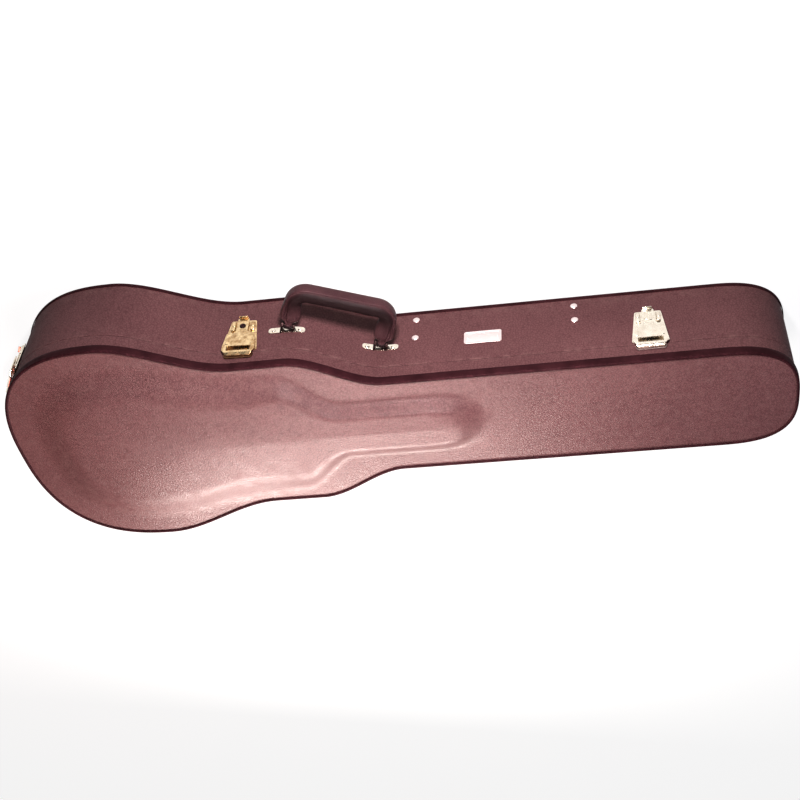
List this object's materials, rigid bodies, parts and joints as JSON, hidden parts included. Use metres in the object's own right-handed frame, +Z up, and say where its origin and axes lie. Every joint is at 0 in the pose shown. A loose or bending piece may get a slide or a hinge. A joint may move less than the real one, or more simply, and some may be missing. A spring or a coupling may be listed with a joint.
{
  "type": "electric guitar case",
  "caption": "Hard shell case shaped to an electric guitar, with a hinged arched lid, draw latches, a folding carry handle, fitted plush padding and an accessory compartment.",
  "frame": {"origin": "on the underside of the base, on the long axis, half way along the case, which lies closed on its base", "axes": "+X to the headstock end, +Y to the side with the handle and latches, +Z up from the base to the lid"},
  "size_m": [1.0636, 0.3985, 0.149],
  "materials": {
    "vinyl_on_plywood": "plywood covered in dark brown grained vinyl",
    "binding": "near-black moulded edging",
    "bare_plywood": "bare plywood",
    "plush_foam": "short plush over foam",
    "brass": "bright brass plate, worn",
    "nickel": "warm bright plate",
    "steel": "satin",
    "handle_plastic": "dark brown moulded, satin"
  },
  "bodies": {
    "base": {"base_binding": "binding", "base_board": "vinyl_on_plywood", "base_lip": "bare_plywood", "base_wall": "vinyl_on_plywood", "body_floor_pad": "plush_foam", "body_surround": "plush_foam", "compartment_ledge": "bare_plywood", "compartment_rod": "steel", "divider_rivet_front_high_handle_side": "nickel", "divider_rivet_front_high_hinge_side": "nickel", "divider_rivet_front_low_handle_side": "nickel", "divider_rivet_front_low_hinge_side": "nickel", "divider_rivet_rear_high_handle_side": "nickel", "divider_rivet_rear_high_hinge_side": "nickel", "divider_rivet_rear_low_handle_side": "nickel", "divider_rivet_rear_low_hinge_side": "nickel", "handle_bracket_left": "nickel", "handle_bracket_right": "nickel", "handle_pin_left": "steel", "handle_pin_right": "steel", "head_floor_pad": "plush_foam", "head_surround": "plush_foam", "hinge_bout_front_base_leaf": "nickel", "hinge_bout_front_pin": "steel", "hinge_bout_rear_base_leaf": "nickel", "hinge_bout_rear_pin": "steel", "hinge_neck_base_leaf": "nickel", "hinge_neck_pin": "steel", "latch_butt_pin": "steel", "latch_butt_plate": "nickel", "latch_neck_pin": "steel", "latch_neck_plate": "nickel", "latch_waist_pin": "steel", "latch_waist_plate": "brass", "nameplate": "nickel", "neck_rest": "plush_foam", "rear_divider": "plush_foam"},
    "lid": {"lid_wall": "vinyl_on_plywood", "lid_top": "vinyl_on_plywood", "lid_binding": "binding", "lid_lining": "plush_foam", "latch_butt_strike": "nickel", "latch_waist_strike": "brass", "latch_neck_strike": "nickel", "hinge_bout_rear_lid_leaf": "nickel", "hinge_bout_front_lid_leaf": "nickel", "hinge_neck_lid_leaf": "nickel"},
    "hatch": {"compartment_hatch": "plush_foam", "hatch_pull_tab": "handle_plastic"},
    "handle": {"handle_grip": "handle_plastic"},
    "lever_butt": {"latch_butt_lever": "nickel"},
    "claw_butt": {"latch_butt_claw": "nickel"},
    "lever_waist": {"latch_waist_lever": "brass"},
    "claw_waist": {"latch_waist_claw": "brass"},
    "lever_neck": {"latch_neck_lever": "nickel"},
    "claw_neck": {"latch_neck_claw": "nickel"},
    "lock": {"lock_plug": "steel"}
  },
  "joints": [
    {"name": "lid_hinge", "type": "hinge", "parent": "base", "child": "lid", "pos_m": [-0.34046, -0.186, 0.103], "axis": [0.9923, 0.1237, 0], "range_deg": [0, 100]},
    {"name": "hatch_hinge", "type": "hinge", "parent": "base", "child": "hatch", "pos_m": [0.14825, -0.073, 0.0567], "axis": [1, 0, 0], "range_deg": [0, 84]},
    {"name": "handle_fold", "type": "hinge", "parent": "base", "child": "handle", "pos_m": [-0.06057, 0.11529, 0.067], "axis": [0.9251, -0.3798, 0], "range_deg": [-60, 76]},
    {"name": "latch_butt_lever_turn", "type": "hinge", "parent": "base", "child": "lever_butt", "pos_m": [-0.50906, 0.11822, 0.084], "axis": [0.4926, 0.8702, 0], "range_deg": [0, 100]},
    {"name": "latch_butt_claw_turn", "type": "hinge", "parent": "lever_butt", "child": "claw_butt", "pos_m": [-0.50992, 0.11871, 0.07], "axis": [0.4926, 0.8702, 0], "range_deg": [-100, 0]},
    {"name": "latch_waist_lever_turn", "type": "hinge", "parent": "base", "child": "lever_waist", "pos_m": [-0.18282, 0.13555, 0.084], "axis": [0.9992, -0.0396, 0], "range_deg": [0, 100]},
    {"name": "latch_waist_claw_turn", "type": "hinge", "parent": "lever_waist", "child": "claw_waist", "pos_m": [-0.18278, 0.13654, 0.07], "axis": [0.9992, -0.0396, 0], "range_deg": [-100, 0]},
    {"name": "lock_turn", "type": "hinge", "parent": "lever_waist", "child": "lock", "pos_m": [-0.18276, 0.13714, 0.057], "axis": [0.0396, 0.9992, 0], "range_deg": [0, 90]},
    {"name": "latch_neck_lever_turn", "type": "hinge", "parent": "base", "child": "lever_neck", "pos_m": [0.349, 0.0864, 0.084], "axis": [1, 0, 0], "range_deg": [0, 100]},
    {"name": "latch_neck_claw_turn", "type": "hinge", "parent": "lever_neck", "child": "claw_neck", "pos_m": [0.349, 0.0874, 0.07], "axis": [1, 0, 0], "range_deg": [-100, 0]}
  ],
  "couplings": [
    {"joint": "hatch_hinge", "follows": "lid_hinge", "ratio": 0.84},
    {"joint": "latch_butt_claw_turn", "follows": "latch_butt_lever_turn", "ratio": -1},
    {"joint": "latch_waist_claw_turn", "follows": "latch_waist_lever_turn", "ratio": -1},
    {"joint": "latch_neck_claw_turn", "follows": "latch_neck_lever_turn", "ratio": -1}
  ]
}
